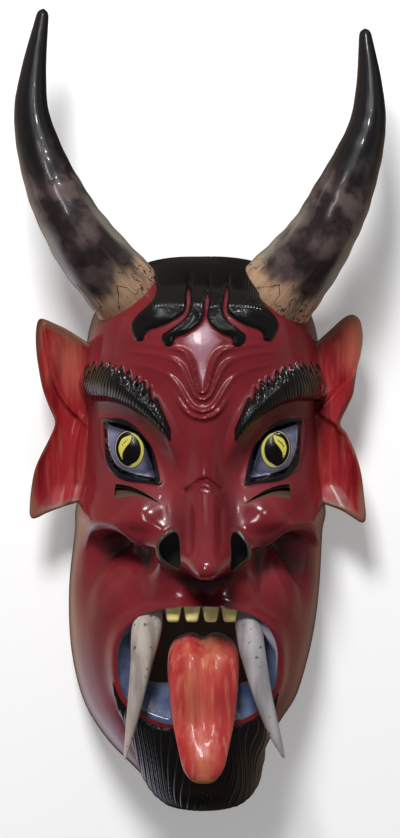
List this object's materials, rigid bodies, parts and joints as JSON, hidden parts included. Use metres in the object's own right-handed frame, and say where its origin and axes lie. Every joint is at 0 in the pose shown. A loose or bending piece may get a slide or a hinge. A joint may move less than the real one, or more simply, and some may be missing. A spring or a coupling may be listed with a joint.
{
  "type": "devil mask",
  "caption": "Carved and lacquered wooden devil mask with horns, flared ears, tusks and a hanging tongue, hollow behind so that it can be worn.",
  "frame": {"origin": "on the ground under the middle of the whole outline, at the level of the flat back rim", "axes": "+Z out of the face, +Y from the beard to the horns, +X to the right of someone who looks at the face"},
  "size_m": [0.2546, 0.559, 0.146],
  "materials": {
    "lacquered_wood": "crimson gloss lacquer over carved wood, hair, brows and beard painted black",
    "horn": "polished horn, tan at the foot and black at the tip",
    "painted_flesh": "orange red gloss paint with tan brush streaks over carved wood",
    "bare_tusk": "bare grey tusk with cracks and stains"
  },
  "bodies": {
    "root": {"mask_face": "lacquered_wood", "horn_left": "horn", "horn_right": "horn", "ear_left": "painted_flesh", "ear_right": "painted_flesh", "tongue": "painted_flesh", "tusk_left": "bare_tusk", "tusk_right": "bare_tusk"}
  },
  "joints": []
}
